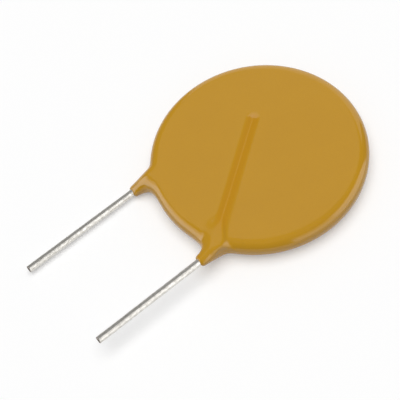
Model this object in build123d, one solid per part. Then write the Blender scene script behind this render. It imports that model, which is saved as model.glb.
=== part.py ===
from build123d import *
from math import cos, radians, sin, sqrt, tan
import os

# Driving dimensions of a radial-leaded resettable fuse, in millimetres.
# Leads
lead_pitch = 10.2           # centre to centre
lead_diameter = 0.64        # 22 gauge wire
front_lead_length = 10.38   # bare wire beyond the boot
rear_lead_length = 11.3
tip_chamfer = 0.07          # edge of the cut tip
lead_run = 13.35            # from the bend to the inner end of the wire, over the foil
lead_slant_deg = 36         # turn of that run away from the bare wire
bend_out = 0.75             # bend beyond the rim
# Chip of filled polymer between two foils
chip_diameter = 18.2
polymer_thickness = 0.6
foil_thickness = 0.05
# Solder bead along each wire
solder_film = 0.03          # under the wire
solder_skin = 0.05          # round the wire
solder_hollow = 0.3         # radius of the bead's hollow flanks
solder_run = 10.5           # length of the bead
solder_end = 0.5            # wire left free beyond the bead
# Dipped coat
rim_wall = 0.6              # beyond the chip's edge
lead_cover = 0.25           # over the wire
ridge_height = 0.3          # above the flat face
ridge_hollow = 0.35         # radius of the ridge's hollow flanks
ridge_sink = 0.2            # depth of the ridge's root in the face
# Boot round each lead where it leaves the disc
boot_length = 2.23          # beyond the rim, and the start of the bend in the wire
boot_wall = 0.16            # round the wire at the tip
boot_root_depth = 1.65      # start of the flare inside the rim
boot_root_width = 3.8
boot_root_height = 1.4
boot_root_sink = 0.08       # top of the flare's start below the flat face
boot_lean = 0.8             # of the flare's start towards the disc's axis
boot_lip = 0.09             # length of the bevel at the tip
boot_lip_share = 0.6        # width of that bevel, of the boot's wall
flare_end_share = 0.4       # end of the flare inside the boot, of the boot's wall
neck_shares = (0, 0.25, 0.5, 0.75, 1)
# Stations of the flare, as shares of the way from its root to its end, and of the root's extra width,
# extra height, drop and lean that are left there.
flare_station_shares = (
    (0, 1, 1, 1, 1),
    (0.27, 0.92, 1, 0.70, 0.92),
    (0.46, 0.66, 0.66, 0.40, 0.72),
    (0.64, 0.36, 0.38, 0.17, 0.35),
    (0.80, 0.12, 0.18, 0.04, 0.08),
    (1, 0, 0, 0, 0),
)

# Sizes that follow. Everything is drawn about the disc's centre, with the leads along -Y.
lead_radius = lead_diameter / 2
chip_thickness = polymer_thickness + 2 * foil_thickness
lead_x = lead_pitch / 2
lead_z = chip_thickness / 2 + solder_film + lead_radius
limb_radius = lead_radius + lead_cover
crest_z = lead_z + limb_radius
face_z = crest_z - ridge_height
body_radius = chip_diameter / 2 + rim_wall
rim_reach = sqrt(body_radius**2 - lead_x**2)
bend_reach = rim_reach + bend_out
boot_reach = rim_reach + boot_length
boot_tip_radius = lead_radius + boot_wall
front_tip_reach = boot_reach + boot_lip + front_lead_length
rear_tip_reach = boot_reach + boot_lip + rear_lead_length
run_direction = Vector(-sin(radians(lead_slant_deg)), cos(radians(lead_slant_deg)), 0)
bend_tangent = boot_length - bend_out
bend_radius = bend_tangent / tan(radians(lead_slant_deg / 2))


def run_point(distance):
    """Point on the slanted run of the front lead, at a distance from its bend."""
    return Vector(lead_x, -bend_reach, lead_z) + run_direction * distance


def run_plane(distance):
    """Plane across the slanted run: X across the wire, Y up, Z towards the inner end."""
    across = Vector(0, 0, 1).cross(run_direction)
    return Plane(origin=run_point(distance), x_dir=across, z_dir=run_direction)


def tube(path, radius):
    """Round bar along a path."""
    return sweep(Plane(origin=path @ 0, z_dir=path % 0) * Circle(radius), path)


def turned_to_rear(piece):
    """The same piece on the other face: a half turn about the axis between the leads."""
    return Rot(0, 180, 0) * piece


def lead(tip_reach):
    """Wire from its cut tip, round the bend under the boot and slantwise over the foil."""
    tip = Vector(lead_x, -tip_reach, lead_z)
    wire = tube(FilletPolyline(tip, run_point(0), run_point(lead_run), radius=bend_radius), lead_radius)
    cut_end = wire.faces().sort_by(Axis.Y)[0]
    return chamfer(cut_end.edges(), tip_chamfer)


def polymer():
    """Disc of carbon-filled polymer."""
    return Cylinder(chip_diameter / 2, polymer_thickness)


def foil():
    """Electrode on the front of the polymer, as wide as the disc."""
    level = (polymer_thickness + foil_thickness) / 2
    return Pos(0, 0, level) * Cylinder(chip_diameter / 2, foil_thickness)


def mound(crown_radius, foot_level, hollow_radius, depth):
    """Half of the section of a mound over the wire: a round crown, a hollow flank and a root.

    Levels are heights above the wire's centre line.
    """
    hollow_reach = crown_radius + hollow_radius
    hollow_level = foot_level + hollow_radius
    foot = sqrt(hollow_reach**2 - hollow_level**2)
    join_share = crown_radius / hollow_reach
    shoulder = (foot * join_share, hollow_level * join_share)
    base_level = foot_level - depth
    crown = TangentArc((0, crown_radius), shoulder, tangent=(1, 0))
    flank = TangentArc(shoulder, (foot, foot_level), tangent=crown % 1)
    root = Polyline((foot, foot_level), (foot, base_level), (0, base_level), (0, crown_radius))
    return make_face([crown, flank, root])


def along_run(half, end, length):
    """Bar of a halved section, laid along the slanted run back from a distance."""
    return run_plane(end) * extrude(half + mirror(half, Plane.YZ), amount=-length)


def solder():
    """Bead that wets the wire and runs out onto the foil, with the wire's own room left open."""
    half = mound(lead_radius + solder_skin, -lead_radius, solder_hollow, solder_film)
    return along_run(half, lead_run - solder_end, solder_run) - lead(front_tip_reach)


def coated_disc():
    """Disc with a flat face on each side and a full round rim."""
    section = SlotOverall(2 * body_radius, 2 * face_z)
    return revolve(Plane.XZ * split(section, Plane.YZ), Axis.Z)


def ridge():
    """Coat standing over the straight run of the wire on the flat face, with a round nose at its inner end."""
    half = mound(limb_radius, face_z - lead_z, ridge_hollow, ridge_sink)
    nose = revolve(half, Axis((0, 0, 0), (0, -1, 0)), revolution_arc=180)
    return along_run(half, lead_run, lead_run - bend_tangent) + run_plane(lead_run) * nose


def neck():
    """Coat round the bend of the wire, lofted from the ridge's end down to the boot's tip."""
    tip = Vector(lead_x, -boot_reach, lead_z)
    bend = TangentArc(run_point(bend_tangent), tip, tangent=-run_direction)
    stations = []
    for share in neck_shares:
        station = Plane(origin=bend @ share, x_dir=(0, 0, 1), z_dir=bend % share)
        stations.append(station * Circle(limb_radius + (boot_tip_radius - limb_radius) * share))
    return loft(stations)


def lip():
    """Bevelled end of the boot, where the coat thins out onto the bare wire."""
    bevel = boot_wall * boot_lip_share
    place = Plane(origin=(lead_x, -boot_reach - boot_lip / 2, lead_z), z_dir=(0, -1, 0))
    return place * Cone(boot_tip_radius, boot_tip_radius - bevel, boot_lip)


def flare():
    """Web of coat that spreads from inside the boot's tip into the rim, lofted through oval stations."""
    root_reach = rim_reach - boot_root_depth
    root_z = face_z - boot_root_sink - boot_root_height / 2
    end_reach = boot_reach - boot_lip
    end_radius = lead_radius + boot_wall * flare_end_share
    stations = []
    for reach_share, width_share, height_share, drop_share, lean_share in flare_station_shares:
        reach = root_reach + (end_reach - root_reach) * reach_share
        half_width = end_radius + (boot_root_width / 2 - end_radius) * width_share
        half_height = end_radius + (boot_root_height / 2 - end_radius) * height_share
        place = (lead_x - boot_lean * lean_share, -reach, lead_z - (lead_z - root_z) * drop_share)
        station = Plane(origin=place, x_dir=(1, 0, 0), z_dir=(0, -1, 0))
        stations.append(station * scale(Circle(1), by=(half_width, half_height, 1)))
    return loft(stations)


def coat():
    """Dipped coat: the disc with a ridge and a boot on each face, hollowed by all that it covers."""
    limb = ridge() + neck() + lip() + flare()
    outside = coated_disc() + limb + turned_to_rear(limb)
    chip = Cylinder(chip_diameter / 2, chip_thickness)
    return outside - chip - leads - solders


front_lead = lead(front_tip_reach)
rear_lead = turned_to_rear(lead(rear_tip_reach))
front_solder = solder()
rear_solder = turned_to_rear(front_solder)
leads = front_lead + rear_lead
solders = front_solder + rear_solder

pieces = {
    "ptc_disc": polymer(),
    "front_foil": foil(),
    "rear_foil": turned_to_rear(foil()),
    "front_solder": front_solder,
    "rear_solder": rear_solder,
    "front_lead": front_lead,
    "rear_lead": rear_lead,
    "coating": coat(),
}

# The fuse lies on its rear face, with the origin under the middle of its outline.
at_rest = Pos(0, (max(front_tip_reach, rear_tip_reach) - body_radius) / 2, crest_z)
os.makedirs("parts", exist_ok=True)
for name, piece in pieces.items():
    export_step(at_rest * piece, f"parts/{name}.step")
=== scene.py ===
import math

import bpy
from mathutils import Matrix, Vector


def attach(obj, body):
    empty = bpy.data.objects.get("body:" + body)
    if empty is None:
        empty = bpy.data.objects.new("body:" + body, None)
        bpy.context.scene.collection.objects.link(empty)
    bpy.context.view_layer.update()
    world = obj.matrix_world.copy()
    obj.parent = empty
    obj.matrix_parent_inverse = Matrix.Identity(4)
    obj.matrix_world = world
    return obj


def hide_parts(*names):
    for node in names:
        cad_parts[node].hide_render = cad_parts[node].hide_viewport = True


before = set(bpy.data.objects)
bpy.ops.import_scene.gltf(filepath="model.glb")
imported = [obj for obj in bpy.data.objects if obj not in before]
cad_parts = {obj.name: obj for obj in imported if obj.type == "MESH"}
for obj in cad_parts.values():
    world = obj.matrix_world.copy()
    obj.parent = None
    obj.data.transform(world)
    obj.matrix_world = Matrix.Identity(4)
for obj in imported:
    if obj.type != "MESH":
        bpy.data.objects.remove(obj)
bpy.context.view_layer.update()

# Polymer disc
# The working core is a disc of polyethylene filled with carbon black, punched from a rolled sheet.
# It lies between two foils and is closed in by the coat all round.
mm = 0.001


def linear(code):
    """Linear colour of an sRGB hex code."""
    shares = [int(code[place:place + 2], 16) / 255 for place in (1, 3, 5)]
    return [s / 12.92 if s <= 0.04045 else ((s + 0.055) / 1.055) ** 2.4 for s in shares] + [1.0]


def add(tree, kind, sockets=None, **settings):
    """New node with its settings. Each socket takes a value, or a link from a node or one of its outputs."""
    node = tree.nodes.new(kind)
    for setting, value in settings.items():
        setattr(node, setting, value)
    for socket, value in (sockets or {}).items():
        if isinstance(value, bpy.types.Node):
            value = value.outputs[0]
        if isinstance(value, bpy.types.NodeSocket):
            tree.links.new(value, node.inputs[socket])
        else:
            node.inputs[socket].default_value = value
    return node


def blank_material(name):
    """Material with an empty tree."""
    material = bpy.data.materials.new(name)
    material.use_nodes = True
    material.node_tree.nodes.clear()
    return material, material.node_tree


def mottled(name, patch_size, detail, colours, roughness, finish):
    """Material whose colour and roughness drift between two values from patch to patch."""
    material, tree = blank_material(name)
    place = add(tree, "ShaderNodeTexCoord").outputs["Object"]
    patches = add(tree, "ShaderNodeTexNoise", {"Vector": place, "Scale": 1 / patch_size, "Detail": detail})
    dark, pale = [linear(code) for code in colours]
    shade = add(tree, "ShaderNodeMix", {0: patches, 6: dark, 7: pale}, data_type="RGBA")
    rough = add(tree, "ShaderNodeMapRange", {
        "Value": patches, "To Min": roughness[0], "To Max": roughness[1]})
    skin = add(tree, "ShaderNodeBsdfPrincipled", {
        "Base Color": shade.outputs[2], "Roughness": rough, **finish})
    add(tree, "ShaderNodeOutputMaterial", {"Surface": skin})
    return material


def wear(node_names, material):
    """Gives the named CAD nodes a finished material."""
    for node_name in node_names:
        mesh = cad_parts[node_name].data
        mesh.materials.clear()
        mesh.materials.append(material)


# Carbon-filled polyethylene: near black and waxy, with a faint grey cloud where the filler is thinner.
filler_cloud = 0.4 * mm
filled_polymer = mottled(
    "carbon_filled_polyethylene", filler_cloud, detail=4.0, colours=("#141414", "#242321"),
    roughness=(0.45, 0.65), finish={"IOR": 1.51})
wear(["ptc_disc"], filled_polymer)

# Foils
# One nickel-plated copper foil is pressed onto each side of the polymer while it is hot.
# Its inner side is nodular, and the outer side shows the matt plating.

# Electrodeposited nickel: a grey metal with a fine sparkle from the nodules.
nodule = 0.06 * mm
nickel_foil = mottled(
    "nickel_plated_foil", nodule, detail=2.0, colours=("#8F8B82", "#B4AFA5"),
    roughness=(0.4, 0.6), finish={"Metallic": 1.0})
wear(["front_foil", "rear_foil"], nickel_foil)

# Solder beads
# A bead of tin solder holds each wire along its slanted run over the foil.
# It is reflowed, so it wets the wire and runs out in hollow flanks.

# Tin solder: a bright grey metal, dulled in soft patches as it froze.
frozen_patch = 0.5 * mm
tin_solder = mottled(
    "tin_solder", frozen_patch, detail=3.0, colours=("#A9A8A4", "#CBC9C3"),
    roughness=(0.2, 0.42), finish={"Metallic": 1.0})
wear(["front_solder", "rear_solder"], tin_solder)

# Leads
# Two 22 gauge copper wires, drawn and hot tinned, cut to length with a shear.
# Each runs in straight, bends under its boot and lies slantwise over one foil, soldered to it.
disc_y = 6.0855 * mm            # centre of the disc
disc_z = 1.27 * mm
lead_radius = 0.32 * mm
lead_x = 5.1 * mm               # half the lead spacing
lead_rise = 0.70 * mm           # above the disc's mid plane
bend_y = disc_y - 9.0011 * mm   # corner of the bend
bend_radius = 4.555 * mm
run_end_x = 7.847 * mm          # from that corner to the inner end, across and along
run_end_y = 10.8001 * mm
front_tip_y = -14.8655 * mm
rear_tip_y = -15.7855 * mm
tip_round = 0.12 * mm


def lead_route(side, tip_y):
    """Tip, bend and inner end of a wire, on the front (1) or the rear (-1)."""
    height = disc_z + side * lead_rise
    return [
        (side * lead_x, tip_y, height),
        (side * lead_x, bend_y, height),
        (side * (lead_x - run_end_x), bend_y + run_end_y, height),
    ]


def sized_tree(name, sizes):
    """Geometry tree with a named input for each size."""
    tree = bpy.data.node_groups.new(name, "GeometryNodeTree")
    tree.interface.new_socket("Geometry", in_out="OUTPUT", socket_type="NodeSocketGeometry")
    tree.interface.new_socket("Geometry", in_out="INPUT", socket_type="NodeSocketGeometry")
    for size in sizes:
        tree.interface.new_socket(size, in_out="INPUT", socket_type="NodeSocketFloat")
    return tree, tree.nodes.new("NodeGroupInput").outputs


def grown(name, routes, tree, sizes):
    """Plain mesh that a tree grows along routes."""
    line = bpy.data.curves.new(name, "CURVE")
    line.dimensions = "3D"
    for route in routes:
        spline = line.splines.new("POLY")
        spline.points.add(len(route) - 1)
        for point, place in zip(spline.points, route):
            point.co = (*place, 1)
    draft = bpy.data.objects.new(name + "_route", line)
    bpy.context.scene.collection.objects.link(draft)
    modifier = draft.modifiers.new(name, "NODES")
    modifier.node_group = tree
    for item in tree.interface.items_tree:
        if item.in_out == "INPUT" and item.name in sizes:
            modifier[item.identifier] = sizes[item.name]
    graph = bpy.context.evaluated_depsgraph_get()
    mesh = bpy.data.meshes.new_from_object(draft.evaluated_get(graph), depsgraph=graph)
    draft.modifiers.remove(modifier)
    bpy.data.objects.remove(draft)
    piece = bpy.data.objects.new(name, mesh)
    bpy.context.scene.collection.objects.link(piece)
    return piece


# Hot-tinned copper: a soft grey shine with faint lines from the drawing die and dull patches in the tin.
# The sheared end is painted darker: partly bare metal where the cut runs through the tin, partly painted
# shade.
tinned_copper, tree = blank_material("hot_tinned_copper")
drawn_line = 0.05 * mm
drawn_length = 2.5 * mm
line_depth = 0.004 * mm
line_strength = 0.25
tin_patch = 0.2 * mm
tin_run = 0.3 * mm
patch_span = (0.33, 0.67)       # of the noise, from dull to shiny
lump_depth = 0.01 * mm
lump_strength = 0.08
bare_and_shade_share = 0.5                # of the rounding, from where the cut is fully bare
dull_roughness = 0.4
shiny_roughness = 0.28
place = add(tree, "ShaderNodeTexCoord").outputs["Object"]
stretched = add(tree, "ShaderNodeMapping", {"Vector": place, "Scale": (1.0, drawn_line / drawn_length, 1.0)})
lines = add(tree, "ShaderNodeTexNoise", {"Vector": stretched, "Scale": 1 / drawn_line, "Detail": 2.0})
run_down = add(tree, "ShaderNodeMapping", {"Vector": place, "Scale": (1.0, tin_patch / tin_run, 1.0)})
patches = add(tree, "ShaderNodeTexNoise", {"Vector": run_down, "Scale": 1 / tin_patch, "Detail": 4.0})
patch = add(tree, "ShaderNodeMapRange", {
    "Value": patches, "From Min": patch_span[0], "From Max": patch_span[1]})
tin = add(tree, "ShaderNodeMix", {0: patch, 6: linear("#C4C1BA"), 7: linear("#E6E3DD")}, data_type="RGBA")
# Painted shade, partly: the cut end is darkened for the bare metal and as shade on the end face.
cut = add(tree, "ShaderNodeAttribute", attribute_name="cut_end").outputs["Fac"]
bare_and_shade = add(tree, "ShaderNodeMapRange", {"Value": cut, "From Min": 0.0, "From Max": bare_and_shade_share})
shade = add(tree, "ShaderNodeMix", {0: bare_and_shade, 6: tin.outputs[2], 7: linear("#6E645B")}, data_type="RGBA")
dull = add(tree, "ShaderNodeMapRange", {"Value": patch, "To Min": dull_roughness, "To Max": shiny_roughness})
lumps = add(tree, "ShaderNodeBump", {"Height": patches, "Strength": lump_strength, "Distance": lump_depth})
relief = add(tree, "ShaderNodeBump", {
    "Height": lines, "Strength": line_strength, "Distance": line_depth, "Normal": lumps})
skin = add(tree, "ShaderNodeBsdfPrincipled", {
    "Base Color": shade.outputs[2], "Roughness": dull, "Metallic": 1.0, "Normal": relief})
add(tree, "ShaderNodeOutputMaterial", {"Surface": skin})

# Wire: rings along the route, packed closer near the tip, where they shrink to a rounded end.
wire_sizes = {"Wire Radius": lead_radius, "Bend Radius": bend_radius, "Tip Round": tip_round}
wire_tree, size = sized_tree("tinned wire", wire_sizes)
bend_steps = 24
ring_spacing = 0.06 * mm
ring_sides = 48
tip_zone = 0.5 * mm
rounded = add(wire_tree, "GeometryNodeFilletCurve", {
    "Curve": size["Geometry"], "Count": bend_steps, "Radius": size["Bend Radius"]}, mode="POLY")
ringed = add(wire_tree, "GeometryNodeResampleCurve", {
    "Curve": rounded, "Length": ring_spacing}, mode="LENGTH")
along = add(wire_tree, "GeometryNodeSplineParameter").outputs["Length"]
near = add(wire_tree, "ShaderNodeMath", {0: along, 1: tip_zone}, operation="MINIMUM")
square = add(wire_tree, "ShaderNodeMath", {0: near, 1: near}, operation="MULTIPLY")
packed = add(wire_tree, "ShaderNodeMath", {0: square, 1: tip_zone}, operation="DIVIDE")
shift = add(wire_tree, "ShaderNodeMath", {0: packed, 1: near}, operation="SUBTRACT")
step = add(wire_tree, "ShaderNodeCombineXYZ", {"Y": shift})
left = add(wire_tree, "ShaderNodeMath", {0: size["Tip Round"], 1: packed}, operation="SUBTRACT")
turn = add(wire_tree, "ShaderNodeMath", {0: left, 1: size["Tip Round"]}, operation="DIVIDE", use_clamp=True)
turn_square = add(wire_tree, "ShaderNodeMath", {0: turn, 1: turn}, operation="MULTIPLY")
rest = add(wire_tree, "ShaderNodeMath", {0: 1.0, 1: turn_square}, operation="SUBTRACT")
level = add(wire_tree, "ShaderNodeMath", {0: rest}, operation="SQRT")
cut_back = add(wire_tree, "ShaderNodeMath", {0: 1.0, 1: level}, operation="SUBTRACT")
loss = add(wire_tree, "ShaderNodeMath", {0: cut_back, 1: size["Tip Round"]}, operation="MULTIPLY")
ring_radius = add(wire_tree, "ShaderNodeMath", {0: size["Wire Radius"], 1: loss}, operation="SUBTRACT")
sized = add(wire_tree, "GeometryNodeCaptureAttribute", {"Geometry": ringed})
sized.capture_items.new("FLOAT", "ring radius")
wire_tree.links.new(ring_radius.outputs[0], sized.inputs["ring radius"])
marked = add(wire_tree, "GeometryNodeStoreNamedAttribute", {
    "Geometry": sized, "Name": "cut_end", "Value": turn}, data_type="FLOAT", domain="POINT")
drawn_up = add(wire_tree, "GeometryNodeSetPosition", {"Geometry": marked, "Offset": step})
section = add(wire_tree, "GeometryNodeCurvePrimitiveCircle", {"Resolution": ring_sides, "Radius": 1.0})
bar = add(wire_tree, "GeometryNodeCurveToMesh", {
    "Curve": drawn_up, "Profile Curve": section, "Scale": sized.outputs["ring radius"], "Fill Caps": True})
smooth = add(wire_tree, "GeometryNodeSetShadeSmooth", {"Geometry": bar})
whole = add(wire_tree, "GeometryNodeRealizeInstances", {"Geometry": smooth})
dressed = add(wire_tree, "GeometryNodeSetMaterial", {"Geometry": whole, "Material": tinned_copper})
add(wire_tree, "NodeGroupOutput", {"Geometry": dressed})

front_route = lead_route(1, front_tip_y)
rear_route = lead_route(-1, rear_tip_y)
wires = bpy.data.collections.new("wires")
for node_name, route in (("front_lead", front_route), ("rear_lead", rear_route)):
    wire = grown("tinned_" + node_name, [route], wire_tree, wire_sizes)
    wires.objects.link(wire)
    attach(wire, "root")
    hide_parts(node_name)

# Coat
# The finished chip is dipped in pigmented epoxy and cured, so the coat is one skin.
# It draws back to a round rim, stands over each wire as a soft ridge and runs down it as a boot.
body_radius = 9.7 * mm
half_thickness = 0.97 * mm
rim_roll = 0.9 * mm                 # radius of the round rim
ridge_height = 0.19 * mm            # above the flat face
ridge_slope = 0.38                  # fall of its flanks
ridge_crown = 0.04 * mm             # roundness of its crest
ridge_foot = 0.15 * mm              # blend into the face
ridge_reach = 2.4 * mm              # widest that it spreads from the wire
root_outer_top = 0.6 * mm           # level top of the ridge at the rim, on each side of the wire
root_inner_top = 0.19 * mm
root_inner_slope = 0.17
root_outer_slope = 0.7
boot_inner_slope = 0.5
root_inset = 0.05 * mm              # of the ridge from the outline
root_round = 0.4 * mm               # blend of the ridge into the outline
root_crown = 0.25 * mm
root_full = disc_y - 8.1 * mm       # the level top is widest here, and gone at the next two
root_ends = disc_y - 6.4 * mm
root_tapers = disc_y - 9.4 * mm
# Painted shade, partly: the deeper colour beside the wire also stands in for the ridge's duller sheen.
thin_and_shade_edge = 0.7 * mm               # deeper colour beside the wire
thin_and_shade_full = 0.35 * mm
boot_half_width = 0.55 * mm
root_half_width = 0.63 * mm
boot_half_height = 0.48 * mm
boot_end = disc_y - 10.56 * mm
boot_round = 0.55 * mm              # of its end
boot_starts = disc_y - 10.4 * mm
root_starts = disc_y - 8.7 * mm
web_reach = 2.5 * mm                # length that thins from the disc's thickness to the boot's
outer_fillet = 1.55 * mm
inner_fillet = 2.9 * mm
fillet_side = 0.6 * mm              # change from one fillet to the other, beside the wire
coat_wave = 3.0 * mm                # faint unevenness of the dip
coat_wave_depth = 0.008 * mm
cell = 0.1 * mm                     # of the grid that the skin is drawn from
margin_cells = 4                    # round the coat, on every side
void_fill = -1.0 * mm               # beyond that grid
settling_rounds = 3

# Cured epoxy with ochre pigment: an even colour with a fine grain of filler, under a smooth glossy skin.
# Over each wire the colour is a little deeper: partly a thinner coat, partly painted shade for the ridge's
# duller sheen.
cured_epoxy, tree = blank_material("cured_ochre_epoxy")
filler_grain = 0.12 * mm
flow_cloud = 3.0 * mm
grain_span = (0.3, 0.7)             # of the noise, from plain to grain
grain_share = 0.08
gloss_roughness = (0.1, 0.14)
place = add(tree, "ShaderNodeTexCoord").outputs["Object"]
cloud = add(tree, "ShaderNodeTexNoise", {"Vector": place, "Scale": 1 / flow_cloud, "Detail": 2.0})
grain = add(tree, "ShaderNodeTexNoise", {"Vector": place, "Scale": 1 / filler_grain, "Detail": 2.0})
tone = add(tree, "ShaderNodeMix", {0: cloud, 6: linear("#BB8907"), 7: linear("#BF8D09")}, data_type="RGBA")
speck = add(tree, "ShaderNodeMapRange", {
    "Value": grain, "From Min": grain_span[0], "From Max": grain_span[1],
    "To Min": 0.0, "To Max": grain_share})
# Painted shade, partly: the over_wire mask deepens the colour for the thin coat and for the ridge's duller
# sheen.
thin_coat_and_shade = add(tree, "ShaderNodeAttribute", attribute_name="over_wire").outputs["Fac"]
tone = add(tree, "ShaderNodeMix", {0: thin_coat_and_shade, 6: tone.outputs[2], 7: linear("#BF8800")}, data_type="RGBA")
shade = add(tree, "ShaderNodeMix", {0: speck, 6: tone.outputs[2], 7: linear("#9A6A08")}, data_type="RGBA")
gloss = add(tree, "ShaderNodeMapRange", {
    "Value": grain, "From Min": grain_span[0], "From Max": grain_span[1],
    "To Min": gloss_roughness[0], "To Max": gloss_roughness[1]})
skin = add(tree, "ShaderNodeBsdfPrincipled", {
    "Base Color": shade.outputs[2], "Roughness": gloss, "IOR": 1.55})
add(tree, "ShaderNodeOutputMaterial", {"Surface": skin})

coat_sizes = {
    "Body Radius": body_radius, "Half Thickness": half_thickness, "Rim Roll": rim_roll,
    "Ridge Height": ridge_height, "Ridge Slope": ridge_slope, "Ridge Crown": ridge_crown,
    "Ridge Foot": ridge_foot, "Ridge Reach": ridge_reach, "Root Outer Top": root_outer_top,
    "Root Inner Top": root_inner_top, "Root Crown": root_crown, "Root Inner Slope": root_inner_slope,
    "Root Outer Slope": root_outer_slope, "Boot Inner Slope": boot_inner_slope, "Root Inset": root_inset,
    "Root Round": root_round, "Boot Half Width": boot_half_width, "Root Half Width": root_half_width,
    "Boot Half Height": boot_half_height, "Boot End": boot_end, "Boot Round": boot_round,
    "Web Reach": web_reach, "Outer Fillet": outer_fillet, "Inner Fillet": inner_fillet,
    "Bend Radius": bend_radius,
}
coat_tree, size = sized_tree("dipped coat", coat_sizes)
rounded = add(coat_tree, "GeometryNodeFilletCurve", {
    "Curve": size["Geometry"], "Count": bend_steps, "Radius": size["Bend Radius"]}, mode="POLY")
wire_line = add(coat_tree, "GeometryNodeCurveToMesh", {"Curve": rounded})
here = add(coat_tree, "GeometryNodeInputPosition")
level = add(coat_tree, "ShaderNodeSeparateXYZ", {"Vector": here}).outputs["Y"]
from_centre = add(coat_tree, "ShaderNodeVectorMath", {
    0: here, 1: (0.0, disc_y, disc_z)}, operation="SUBTRACT")
part = add(coat_tree, "ShaderNodeSeparateXYZ", {"Vector": from_centre}).outputs
aside = add(coat_tree, "ShaderNodeMath", {0: part["X"]}, operation="ABSOLUTE")
past_end = add(coat_tree, "ShaderNodeMath", {0: size["Boot End"], 1: level}, operation="SUBTRACT")

# Outline in plan: the round disc, and a strip along each wire that is filleted into it.
flat_part = add(coat_tree, "ShaderNodeCombineXYZ", {"X": part["X"], "Y": part["Y"]})
reach = add(coat_tree, "ShaderNodeVectorMath", {0: flat_part}, operation="LENGTH").outputs["Value"]
past_disc = add(coat_tree, "ShaderNodeMath", {0: reach, 1: size["Body Radius"]}, operation="SUBTRACT")
beside = add(coat_tree, "ShaderNodeCombineXYZ", {"X": aside, "Y": level, "Z": disc_z + lead_rise})
off_wire = add(coat_tree, "GeometryNodeProximity", {
    "Geometry": wire_line, "Sample Position": beside}, target_element="EDGES").outputs["Distance"]
strip_half = add(coat_tree, "ShaderNodeMapRange", {
    "Value": level, "From Min": boot_starts, "From Max": root_starts,
    "To Min": size["Boot Half Width"], "To Max": size["Root Half Width"]}, interpolation_type="SMOOTHSTEP")
past_strip = add(coat_tree, "ShaderNodeMath", {0: off_wire, 1: strip_half}, operation="SUBTRACT")
past_strip = add(coat_tree, "ShaderNodeMath", {
    0: past_strip, 1: past_end, 2: size["Boot Round"]}, operation="SMOOTH_MAX")
fillet = add(coat_tree, "ShaderNodeMapRange", {
    "Value": aside, "From Min": lead_x - fillet_side, "From Max": lead_x + fillet_side,
    "To Min": size["Inner Fillet"], "To Max": size["Outer Fillet"]}, interpolation_type="SMOOTHSTEP")
past_outline = add(coat_tree, "ShaderNodeMath", {
    0: past_disc, 1: past_strip, 2: fillet}, operation="SMOOTH_MIN")

# Web: beyond the rim the coat thins from the disc's thickness to the boot's, and rises to the wire's level.
aside_square = add(coat_tree, "ShaderNodeMath", {0: aside, 1: aside}, operation="MULTIPLY")
rim_square = add(coat_tree, "ShaderNodeMath", {0: body_radius ** 2, 1: aside_square}, operation="SUBTRACT")
rim_level = add(coat_tree, "ShaderNodeMath", {0: rim_square}, operation="SQRT")
rim_to_here = add(coat_tree, "ShaderNodeMath", {0: part["Y"], 1: rim_level}, operation="ADD")
web = add(coat_tree, "ShaderNodeMath", {0: rim_to_here, 1: -1.0}, operation="MULTIPLY")
web = add(coat_tree, "ShaderNodeMapRange", {
    "Value": web, "From Max": size["Web Reach"]}, interpolation_type="SMOOTHSTEP")
half_height = add(coat_tree, "ShaderNodeMapRange", {
    "Value": web, "To Min": size["Half Thickness"], "To Max": size["Boot Half Height"]})
roll = add(coat_tree, "ShaderNodeMapRange", {
    "Value": web, "To Min": size["Rim Roll"], "To Max": size["Boot Half Height"]})
face = add(coat_tree, "ShaderNodeMath", {0: part["X"]}, operation="SIGN")
rise = add(coat_tree, "ShaderNodeMath", {0: face, 1: lead_rise}, operation="MULTIPLY")
rise = add(coat_tree, "ShaderNodeMath", {0: rise, 1: web}, operation="MULTIPLY")
height = add(coat_tree, "ShaderNodeMath", {0: part["Z"], 1: rise}, operation="SUBTRACT")
height = add(coat_tree, "ShaderNodeMath", {0: height}, operation="ABSOLUTE")
flat_half = add(coat_tree, "ShaderNodeMath", {0: half_height, 1: roll}, operation="SUBTRACT")
over_reach = add(coat_tree, "ShaderNodeMath", {0: past_outline, 1: roll}, operation="ADD")
over_height = add(coat_tree, "ShaderNodeMath", {0: height, 1: flat_half}, operation="SUBTRACT")
out_reach = add(coat_tree, "ShaderNodeMath", {0: over_reach, 1: 0.0}, operation="MAXIMUM")
out_height = add(coat_tree, "ShaderNodeMath", {0: over_height, 1: 0.0}, operation="MAXIMUM")
out_part = add(coat_tree, "ShaderNodeCombineXYZ", {"X": out_reach, "Y": out_height})
outside = add(coat_tree, "ShaderNodeVectorMath", {0: out_part}, operation="LENGTH").outputs["Value"]
deeper = add(coat_tree, "ShaderNodeMath", {0: over_reach, 1: over_height}, operation="MAXIMUM")
inside = add(coat_tree, "ShaderNodeMath", {0: deeper, 1: 0.0}, operation="MINIMUM")
to_roll = add(coat_tree, "ShaderNodeMath", {0: outside, 1: inside}, operation="ADD")
to_body = add(coat_tree, "ShaderNodeMath", {0: to_roll, 1: roll}, operation="SUBTRACT")

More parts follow.
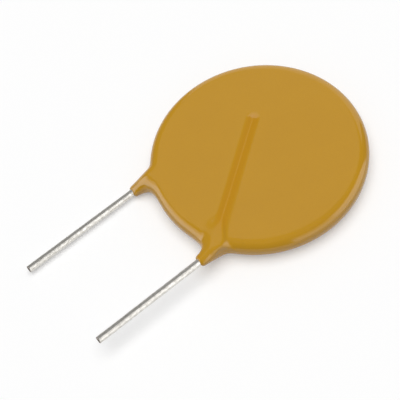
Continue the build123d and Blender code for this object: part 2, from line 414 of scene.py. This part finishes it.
# Ridge: the coat stands over the wire on each face like a low roof.
# At the rim the roof has a level top, a gentle inner flank and a steep outer one.
crest = add(coat_tree, "ShaderNodeMath", {
    0: size["Half Thickness"], 1: size["Ridge Height"]}, operation="ADD")
from_root = add(coat_tree, "ShaderNodeMapRange", {
    "Value": level, "From Min": root_full, "From Max": root_ends}, interpolation_type="SMOOTHSTEP")
from_boot = add(coat_tree, "ShaderNodeMapRange", {
    "Value": level, "From Min": root_tapers, "From Max": root_full}, interpolation_type="SMOOTHSTEP")
inner_slope = add(coat_tree, "ShaderNodeMapRange", {
    "Value": from_boot, "To Min": size["Boot Inner Slope"], "To Max": size["Root Inner Slope"]})
inner_slope = add(coat_tree, "ShaderNodeMapRange", {
    "Value": from_root, "To Min": inner_slope, "To Max": size["Ridge Slope"]})
outer_slope = add(coat_tree, "ShaderNodeMapRange", {
    "Value": from_root, "To Min": size["Root Outer Slope"], "To Max": size["Ridge Slope"]})
to_run = add(coat_tree, "ShaderNodeMath", {0: 1.0, 1: from_root}, operation="SUBTRACT")
at_root = add(coat_tree, "ShaderNodeMath", {0: to_run, 1: from_boot}, operation="MULTIPLY")
crown = add(coat_tree, "ShaderNodeMapRange", {
    "Value": from_root, "To Min": size["Root Crown"], "To Max": size["Ridge Crown"]})
within = add(coat_tree, "ShaderNodeMath", {0: past_outline, 1: size["Root Inset"]}, operation="ADD")
over_wire = []
for side in (1.0, -1.0):
    folded = add(coat_tree, "ShaderNodeVectorMath", {
        0: from_centre, 1: (side, 1.0, side)}, operation="MULTIPLY")
    folded = add(coat_tree, "ShaderNodeSeparateXYZ", {"Vector": folded}).outputs
    beside = add(coat_tree, "ShaderNodeCombineXYZ", {"X": folded["X"], "Y": level, "Z": disc_z + lead_rise})
    nearest = add(coat_tree, "GeometryNodeProximity", {
        "Geometry": wire_line, "Sample Position": beside}, target_element="EDGES").outputs
    wire_x = add(coat_tree, "ShaderNodeSeparateXYZ", {"Vector": nearest["Position"]}).outputs["X"]
    outer = add(coat_tree, "ShaderNodeMath", {0: folded["X"], 1: wire_x}, operation="GREATER_THAN")
    slope = add(coat_tree, "ShaderNodeMapRange", {
        "Value": outer, "To Min": inner_slope, "To Max": outer_slope})
    half_top = add(coat_tree, "ShaderNodeMapRange", {
        "Value": outer, "To Min": size["Root Inner Top"], "To Max": size["Root Outer Top"]})
    half_top = add(coat_tree, "ShaderNodeMath", {0: half_top, 1: at_root}, operation="MULTIPLY")
    off_top = add(coat_tree, "ShaderNodeMath", {0: nearest["Distance"], 1: half_top}, operation="SUBTRACT")
    off_top = add(coat_tree, "ShaderNodeMath", {0: off_top, 1: 0.0}, operation="MAXIMUM")
    aslant = add(coat_tree, "ShaderNodeCombineXYZ", {"X": off_top, "Y": crown})
    aslant = add(coat_tree, "ShaderNodeVectorMath", {0: aslant}, operation="LENGTH").outputs["Value"]
    off_crest = add(coat_tree, "ShaderNodeMath", {0: aslant, 1: crown}, operation="SUBTRACT")
    fall = add(coat_tree, "ShaderNodeMath", {0: off_crest, 1: slope}, operation="MULTIPLY")
    roof = add(coat_tree, "ShaderNodeMath", {0: folded["Z"], 1: crest}, operation="SUBTRACT")
    roof = add(coat_tree, "ShaderNodeMath", {0: roof, 1: fall}, operation="ADD")
    own_rise = add(coat_tree, "ShaderNodeMath", {0: rise, 1: side}, operation="MULTIPLY")
    under = add(coat_tree, "ShaderNodeMath", {0: own_rise, 1: folded["Z"]}, operation="SUBTRACT")
    roof = add(coat_tree, "ShaderNodeMath", {0: roof, 1: under}, operation="MAXIMUM")
    past_reach = add(coat_tree, "ShaderNodeMath", {
        0: nearest["Distance"], 1: size["Ridge Reach"]}, operation="SUBTRACT")
    roof = add(coat_tree, "ShaderNodeMath", {0: roof, 1: past_reach}, operation="MAXIMUM")
    roof = add(coat_tree, "ShaderNodeMath", {
        0: roof, 1: within, 2: size["Root Round"]}, operation="SMOOTH_MAX")
    to_body = add(coat_tree, "ShaderNodeMath", {
        0: to_body, 1: roof, 2: size["Ridge Foot"]}, operation="SMOOTH_MIN")
    # Painted shade, partly: the colour deepens near the wire on each face, and fades away from it.
    thin_and_shade_ramp = add(coat_tree, "ShaderNodeMapRange", {
        "Value": nearest["Distance"], "From Min": thin_and_shade_edge, "From Max": thin_and_shade_full},
        interpolation_type="SMOOTHSTEP")
    on_face = add(coat_tree, "ShaderNodeMath", {0: folded["Z"], 1: 0.0}, operation="GREATER_THAN")
    over_wire.append(add(coat_tree, "ShaderNodeMath", {0: thin_and_shade_ramp, 1: on_face}, operation="MULTIPLY"))
over_wire = add(coat_tree, "ShaderNodeMath", {0: over_wire[0], 1: over_wire[1]}, operation="ADD")
over_wire = add(coat_tree, "ShaderNodeMath", {0: over_wire, 1: from_root}, operation="MULTIPLY")

# Skin: the distance fills a grid, the skin is drawn where it is zero, and then settles onto the true surface.
wave = add(coat_tree, "ShaderNodeTexNoise", {"Vector": here, "Scale": 1 / coat_wave, "Detail": 1.0})
dip = add(coat_tree, "ShaderNodeMath", {0: wave, 1: coat_wave_depth}, operation="MULTIPLY")
distance = add(coat_tree, "ShaderNodeMath", {0: to_body, 1: dip}, operation="ADD")
fill = add(coat_tree, "ShaderNodeMath", {0: distance, 1: -1.0}, operation="MULTIPLY")
margin = margin_cells * Vector((cell, cell, cell))
low = Vector((-body_radius, boot_end, 0.0)) - margin
high = Vector((body_radius, disc_y + body_radius, 2 * disc_z)) + margin
counts = [round((top - bottom) / cell) + 1 for bottom, top in zip(low, high)]
block = add(coat_tree, "GeometryNodeVolumeCube", {
    "Density": fill, "Background": void_fill, "Min": low, "Max": high,
    "Resolution X": counts[0], "Resolution Y": counts[1], "Resolution Z": counts[2]})
skinned = add(coat_tree, "GeometryNodeVolumeToMesh", {
    "Volume": block, "Threshold": 0.0}, resolution_mode="GRID")
facing = add(coat_tree, "GeometryNodeInputNormal")
back_step = add(coat_tree, "ShaderNodeVectorMath", {0: facing, "Scale": fill}, operation="SCALE")
for _ in range(settling_rounds):
    skinned = add(coat_tree, "GeometryNodeSetPosition", {"Geometry": skinned, "Offset": back_step})
marked = add(coat_tree, "GeometryNodeStoreNamedAttribute", {
    "Geometry": skinned, "Name": "over_wire", "Value": over_wire}, data_type="FLOAT", domain="POINT")
smooth = add(coat_tree, "GeometryNodeSetShadeSmooth", {"Geometry": marked})
whole = add(coat_tree, "GeometryNodeRealizeInstances", {"Geometry": smooth})
dressed = add(coat_tree, "GeometryNodeSetMaterial", {"Geometry": whole, "Material": cured_epoxy})
add(coat_tree, "NodeGroupOutput", {"Geometry": dressed})

coat = grown("epoxy_coat", [front_route], coat_tree, coat_sizes)
coated = bpy.data.collections.new("coated")
coated.objects.link(coat)
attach(coat, "root")
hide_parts("coating")

# Floor
# A plain white studio table that the fuse lies on.
# It is lifted a little to the eye, and in what mirrors it, so that it reads as white.
floor_reach = 3000 * mm
table_lift = 0.3
corners = [(x * floor_reach, y * floor_reach, 0.0) for x, y in ((-1, -1), (1, -1), (1, 1), (-1, 1))]
floor_mesh = bpy.data.meshes.new("floor")
floor_mesh.from_pydata(corners, [], [(0, 1, 2, 3)])
floor = bpy.data.objects.new("floor", floor_mesh)
bpy.context.scene.collection.objects.link(floor)
white_table, tree = blank_material("white_table")
seen = add(tree, "ShaderNodeLightPath").outputs
shown = add(tree, "ShaderNodeMath", {0: seen["Is Camera Ray"], 1: seen["Is Glossy Ray"]}, operation="MAXIMUM")
shown = add(tree, "ShaderNodeMath", {0: shown, 1: seen["Is Transmission Ray"]}, operation="MAXIMUM")
lift = add(tree, "ShaderNodeMath", {0: shown, 1: table_lift}, operation="MULTIPLY")
matt = add(tree, "ShaderNodeBsdfDiffuse", {"Color": linear("#DADADA")})
glow = add(tree, "ShaderNodeEmission", {"Strength": lift})
both = add(tree, "ShaderNodeAddShader", {0: matt, 1: glow})
add(tree, "ShaderNodeOutputMaterial", {"Surface": both})
floor_mesh.materials.append(white_table)

# Light
# A soft light from above and a dim white tent bring out the colours, and soft boxes bring out the shine.
# Each box is set where the coat or the wires mirror it to the camera.
centre = Vector((0.0, disc_y, disc_z))
away = 250 * mm         # to a soft box
nearer = 240 * mm       # to one that stands in front of another
ceiling_level = 0.68
ceiling_spread = 60     # degrees
tent_level = 0.3


def soft_box(name, place, facing, width, height, radiance):
    """Rectangular lamp at a place, facing a direction."""
    lamp = bpy.data.lights.new(name, "AREA")
    lamp.shape = "RECTANGLE"
    lamp.size = width
    lamp.size_y = height
    lamp.energy = radiance * math.pi * width * height
    box = bpy.data.objects.new(name, lamp)
    box.matrix_world = Matrix.Translation(place) @ facing.to_track_quat("-Z", "Y").to_matrix().to_4x4()
    bpy.context.scene.collection.objects.link(box)
    return box


def direction(azimuth, elevation):
    """Unit vector from two angles in degrees."""
    turn, rise = math.radians(azimuth), math.radians(elevation)
    return Vector((math.cos(turn) * math.cos(rise), math.sin(turn) * math.cos(rise), math.sin(rise)))


# Hanging boxes: azimuth and elevation in degrees, width, height, radiance, and what each of them lights.
hanging_boxes = {
    "face_box": (171, 59, 220 * mm, 80 * mm, 0.42, coated),
    "wire_box": (24, 60, 200 * mm, 200 * mm, 1.0, wires),
}
for name, (azimuth, elevation, width, height, radiance, lit) in hanging_boxes.items():
    out = direction(azimuth, elevation)
    box = soft_box(name, centre + out * away, -out, width, height, radiance)
    box.light_linking.receiver_collection = lit

# Standing boxes, for shine alone: distance, azimuth, half width and top in degrees, radiance.
standing_boxes = {
    "front_box": (away, -119, 23, 50, 1.15),
    "front_low_box": (nearer, -119, 23, 34, 1.25),
    "right_box": (away, 48, 24, 50, 1.0),
    "right_low_box": (nearer, 48, 24, 42, 0.95),
    "side_box": (away, 4, 20, 48, 0.7),
    "side_low_box": (nearer, 4, 20, 30, 0.75),
    "back_box": (away, 131, 34, 48, 0.85),
}
for name, (far, azimuth, half_turn, top, radiance) in standing_boxes.items():
    out = direction(azimuth, 0)
    width = 2 * far * math.tan(math.radians(half_turn))
    height = far * math.tan(math.radians(top))
    place = Vector((centre.x, centre.y, height / 2)) + out * far
    box = soft_box(name, place, -out, width, height, radiance)
    box.visible_diffuse = False

ceiling_lamp = bpy.data.lights.new("ceiling", "SUN")
ceiling_lamp.energy = math.pi * ceiling_level
ceiling_lamp.angle = math.radians(ceiling_spread)
ceiling = bpy.data.objects.new("ceiling", ceiling_lamp)
ceiling.visible_glossy = False
bpy.context.scene.collection.objects.link(ceiling)
world = bpy.data.worlds.new("tent")
world.use_nodes = True
bpy.context.scene.world = world
tree = world.node_tree
tree.nodes.clear()
sky = add(tree, "ShaderNodeBackground", {"Color": linear("#FFFFFF"), "Strength": tent_level})
add(tree, "ShaderNodeOutputWorld", {"Surface": sky})
bpy.context.scene.view_settings.view_transform = "Standard"

# Camera
# It stands where the photograph was taken from, close in, with the leads to the lower left.
camera_azimuth = -22.872
camera_elevation = 58.957
camera_roll = math.radians(-17.256)
distance_away = 80 * mm
look_at = Vector((0.0695, -0.5444, 1.2811)) * mm
focal_pixels = 920.0
image_pixels = 400
back = direction(camera_azimuth, camera_elevation)
level_right = Vector((-back.y, back.x, 0.0)).normalized()
level_up = back.cross(level_right)
right = level_right * math.cos(camera_roll) + level_up * math.sin(camera_roll)
up = level_up * math.cos(camera_roll) - level_right * math.sin(camera_roll)
camera_data = bpy.data.cameras.new("camera")
camera_data.sensor_width = 36.0
camera_data.lens = camera_data.sensor_width * focal_pixels / image_pixels
camera_data.clip_start = 1 * mm
camera = bpy.data.objects.new("camera", camera_data)
axes = Matrix((right, up, back)).transposed()
camera.matrix_world = Matrix.Translation(look_at + back * distance_away) @ axes.to_4x4()
bpy.context.scene.collection.objects.link(camera)
bpy.context.scene.camera = camera
